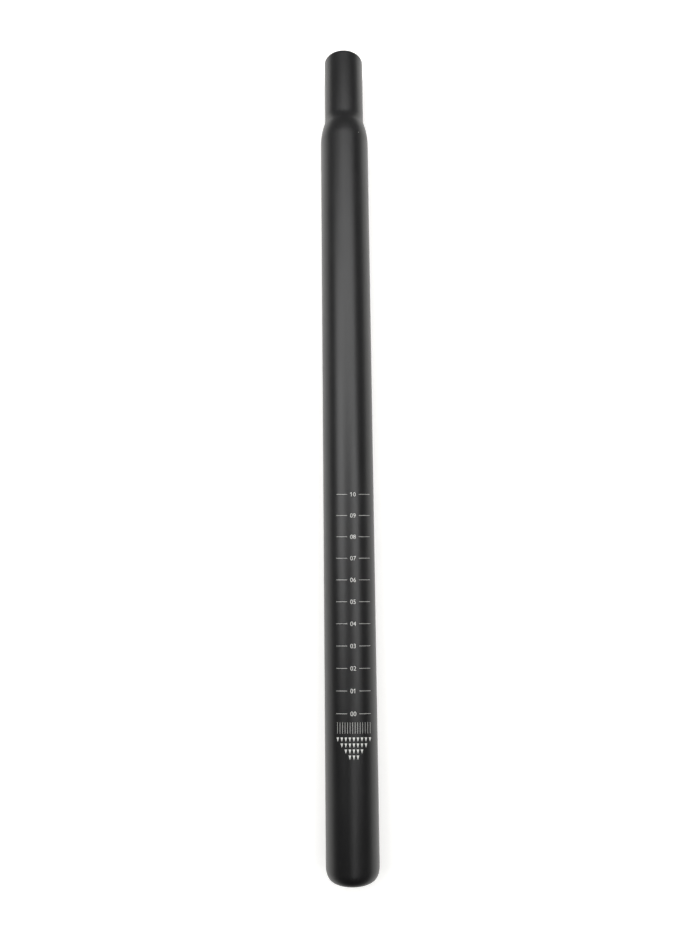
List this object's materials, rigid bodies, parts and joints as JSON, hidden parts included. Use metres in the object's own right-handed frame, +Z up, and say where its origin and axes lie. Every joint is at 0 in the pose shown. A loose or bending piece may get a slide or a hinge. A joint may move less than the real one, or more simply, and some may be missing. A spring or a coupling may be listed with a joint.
{
  "type": "bicycle seatpost",
  "caption": "Straight black seatpost tube with a swaged neck for a saddle clamp, a spun-in foot that slides into a frame's seat tube, and a pale insertion scale.",
  "frame": {"origin": "on the surface that the post lies on, under the middle of its length and of its diameter", "axes": "+Y along the tube from its foot to its neck, +Z up out of the surface, through the middle of the marked scale"},
  "size_m": [0.0272, 0.45, 0.0272],
  "materials": {
    "black_anodised": "satin black anodised over a fine blasted surface",
    "laser_mark": "pale matt marking where a laser has bleached the anodised layer"
  },
  "bodies": {
    "root": {"seatpost": "black_anodised"}
  },
  "joints": []
}
